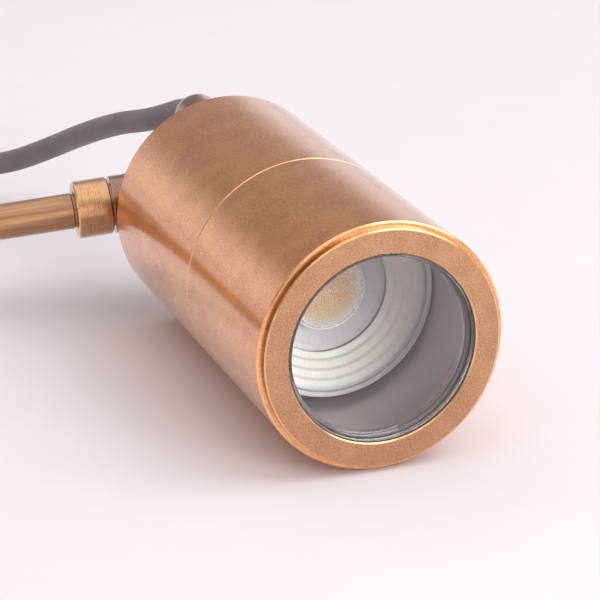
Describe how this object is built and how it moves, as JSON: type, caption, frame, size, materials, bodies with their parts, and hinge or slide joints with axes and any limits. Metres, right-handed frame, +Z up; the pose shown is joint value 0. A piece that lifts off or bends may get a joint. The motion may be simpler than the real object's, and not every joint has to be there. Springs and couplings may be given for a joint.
{
  "type": "garden spike spotlight",
  "caption": "Cylindrical brass garden spotlight with a flat glass front, a tilting knuckle, a locking collar, a pointed ground spike and a supply flex.",
  "frame": {"origin": "under the middle of the object's box, its flex left out, on the surface it lies on", "axes": "+Z up, +Y back along the head's axis away from the glass, -X out along the spike"},
  "size_m": [0.3566, 0.3184, 0.06],
  "materials": {
    "aged_brass": "cast and turned, aged brown-gold",
    "spike_brass": "drawn rod, mottled golden brown",
    "terminal_brass": "bright turned",
    "stainless": "turned stainless",
    "zinc_steel": "zinc plated",
    "clear_glass": "clear flat glass with ground edge",
    "lens_plastic": "clear moulded",
    "frosted_plastic": "milky translucent, stepped",
    "lamp_plastic": "white moulded",
    "phosphor": "yellow-orange phosphor",
    "board_metal": "white-masked aluminium",
    "board_green": "solder-masked board with parts",
    "pin_nickel": "nickel plated",
    "ceramic": "unglazed",
    "block_plastic": "milky moulded",
    "seal_rubber": "black silicone",
    "flex_jacket": "dark grey rubber, dusty",
    "brown_core": "brown insulation",
    "blue_core": "blue insulation",
    "earth_core": "green and yellow insulation",
    "copper_strand": "bare twisted copper"
  },
  "bodies": {
    "head": {"rear_housing": "aged_brass", "knuckle_lug": "aged_brass", "gland_body": "aged_brass", "gland_nut": "aged_brass", "terminal_inserts": "terminal_brass", "holder_contacts": "terminal_brass", "lug_nut": "stainless", "holder_bracket": "zinc_steel", "bracket_posts": "zinc_steel", "bracket_screws": "zinc_steel", "holder_screws": "zinc_steel", "holder_nuts": "zinc_steel", "terminal_screws": "zinc_steel", "earth_tag": "zinc_steel", "earth_screw": "zinc_steel", "lamp_holder": "ceramic", "terminal_block": "block_plastic", "housing_o_ring": "seal_rubber", "gland_seal": "seal_rubber", "gland_o_ring": "seal_rubber", "lug_o_ring": "seal_rubber", "flex_inner_end": "flex_jacket", "supply_flex": "flex_jacket", "flex_coil": "flex_jacket", "flex_tail": "flex_jacket", "live_lead": "brown_core", "live_core": "brown_core", "tail_live_core": "brown_core", "neutral_lead": "blue_core", "neutral_core": "blue_core", "tail_neutral_core": "blue_core", "earth_core": "earth_core", "tail_earth_core": "earth_core", "tail_strands": "copper_strand"},
    "front_slider": {"ring_o_ring": "seal_rubber"},
    "front": {"front_barrel": "aged_brass", "front_ring": "aged_brass", "front_glass": "clear_glass", "glass_seal": "seal_rubber"},
    "lamp": {"lamp_shell": "lamp_plastic", "lamp_optic": "frosted_plastic", "lamp_lens": "lens_plastic", "led_chip": "phosphor", "led_board": "board_metal", "lamp_driver_board": "board_green", "lamp_base": "lamp_plastic", "lamp_pins": "pin_nickel"},
    "knuckle": {"knuckle_fork": "aged_brass", "clamp_screw": "stainless", "clamp_washer": "stainless", "clamp_nut": "stainless", "tilt_washers": "stainless"},
    "collar_slider": {"friction_washer": "seal_rubber"},
    "collar": {"lock_collar": "aged_brass"},
    "spike": {"ground_spike": "spike_brass"}
  },
  "joints": [
    {"name": "front_travel", "type": "slide", "parent": "head", "child": "front_slider", "axis": [0, -1, 0], "range_m": [0, 0.008]},
    {"name": "front_turn", "type": "hinge", "parent": "front_slider", "child": "front", "pos_m": [0.1483, -0.0827, 0.03], "axis": [0, -1, 0], "range_deg": [0, 1920]},
    {"name": "lamp_twist", "type": "hinge", "parent": "head", "child": "lamp", "pos_m": [0.14925, -0.0827, 0.03058], "axis": [0, 1, 0], "range_deg": [-22, 0]},
    {"name": "tilt", "type": "hinge", "parent": "head", "child": "knuckle", "pos_m": [0.1483, 0.0419, 0.03], "axis": [-0.0831, 0, 0.9965], "range_deg": [-183, 16], "deforming": ["supply_flex"]},
    {"name": "collar_travel", "type": "slide", "parent": "knuckle", "child": "collar_slider", "axis": [-0.9895, 0.1184, -0.0825], "range_m": [0, 0.0005]},
    {"name": "collar_turn", "type": "hinge", "parent": "collar_slider", "child": "collar", "pos_m": [0.1483, 0.0419, 0.03], "axis": [-0.9895, 0.1184, -0.0825], "range_deg": [0, 180]},
    {"name": "spike_swivel", "type": "hinge", "parent": "knuckle", "child": "spike", "pos_m": [0.1483, 0.0419, 0.03], "axis": [-0.9895, 0.1184, -0.0825], "continuous": true}
  ],
  "couplings": [
    {"joint": "front_travel", "follows": "front_turn", "m_per_rad": 0.00023873},
    {"joint": "collar_travel", "follows": "collar_turn", "m_per_rad": 0.00015915}
  ]
}
